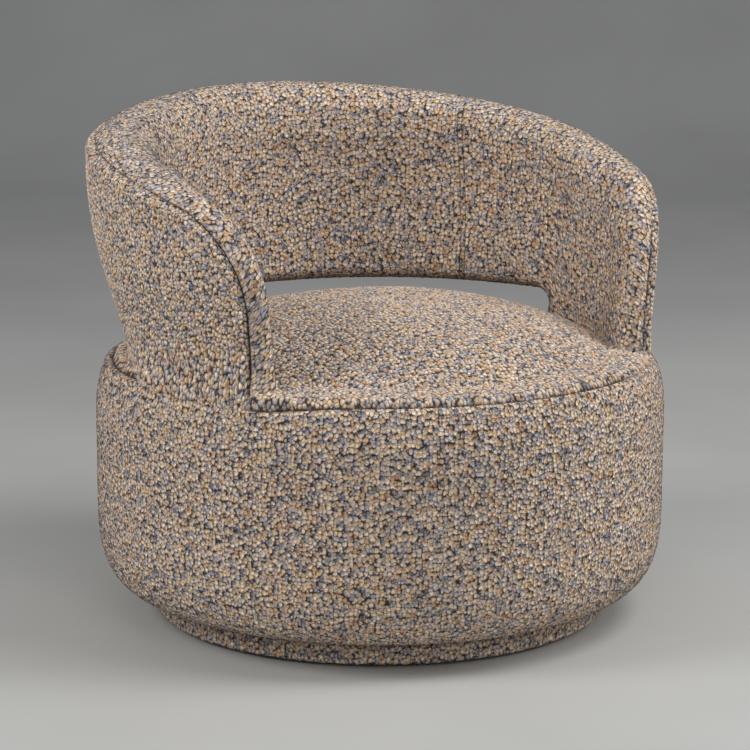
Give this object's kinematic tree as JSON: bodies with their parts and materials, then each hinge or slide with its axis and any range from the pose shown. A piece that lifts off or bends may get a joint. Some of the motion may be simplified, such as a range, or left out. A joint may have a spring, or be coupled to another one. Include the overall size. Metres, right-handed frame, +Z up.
{
  "type": "swivel lounge chair",
  "caption": "Swivel lounge chair: an upholstered drum on a recessed round plinth, a domed tight seat and one curved band that makes the back and arms above an open slot.",
  "frame": {"origin": "on the floor, on the swivel axis, in the middle of the drum and the plinth", "axes": "+Z up along the swivel axis; the sitter faces -Y, so the middle of the back is on +Y; +X is at the left hand of the sitter"},
  "size_m": [0.8, 0.8089, 0.721],
  "materials": {
    "boucle_fabric": "nubby loop weave in cream, tan and blue-grey with dark gaps",
    "foam": "open-cell polyurethane foam",
    "plywood": "sanded, unfinished",
    "hardboard": "smooth pressed board",
    "webbing": "elastic woven tape",
    "lining_cloth": "thin spun lining cloth",
    "pressed_steel": "zinc plated sheet",
    "screw_steel": "zinc plated",
    "ball_steel": "polished",
    "nylon": "natural",
    "glide_plastic": "moulded"
  },
  "bodies": {
    "base": {"floor_glides": "glide_plastic", "glide_screws": "screw_steel", "plinth_board": "plywood", "plinth_ring": "plywood", "plinth_padding": "foam", "plinth_cover": "boucle_fabric", "plinth_underlining": "lining_cloth", "lower_race_plate": "pressed_steel", "lower_plate_bolts": "screw_steel", "lower_tee_nuts": "screw_steel", "centre_pin": "screw_steel"},
    "ball_ring": {"bearing_balls": "ball_steel", "ball_cage": "pressed_steel"},
    "seat": {"upper_race_plate": "pressed_steel", "pin_washer": "nylon", "upper_plate_bolts": "screw_steel", "upper_tee_nuts": "screw_steel", "base_board": "plywood", "frame_ribs": "plywood", "top_ring": "plywood", "frame_screws": "screw_steel", "side_hoop": "hardboard", "webbing_lengthwise": "webbing", "webbing_crosswise": "webbing", "seat_foam": "foam", "seat_cover": "boucle_fabric", "drum_padding": "foam", "drum_cover": "boucle_fabric", "underside_cloth": "lining_cloth", "arm_posts": "plywood", "post_bolts": "screw_steel", "post_washers": "screw_steel", "post_nuts": "screw_steel", "back_panel": "plywood", "panel_screws": "screw_steel", "inner_back_foam": "foam", "outer_back_foam": "foam", "back_inner_cover": "boucle_fabric", "back_outer_cover": "boucle_fabric"}
  },
  "joints": [
    {"name": "seat_swivel", "type": "hinge", "parent": "base", "child": "seat", "pos_m": [0, 0, 0.03], "axis": [0, 0, 1], "continuous": true},
    {"name": "ball_ring_spin", "type": "hinge", "parent": "base", "child": "ball_ring", "pos_m": [0, 0, 0.03], "axis": [0, 0, 1], "continuous": true}
  ],
  "couplings": [
    {"joint": "ball_ring_spin", "follows": "seat_swivel", "ratio": 0.5}
  ]
}
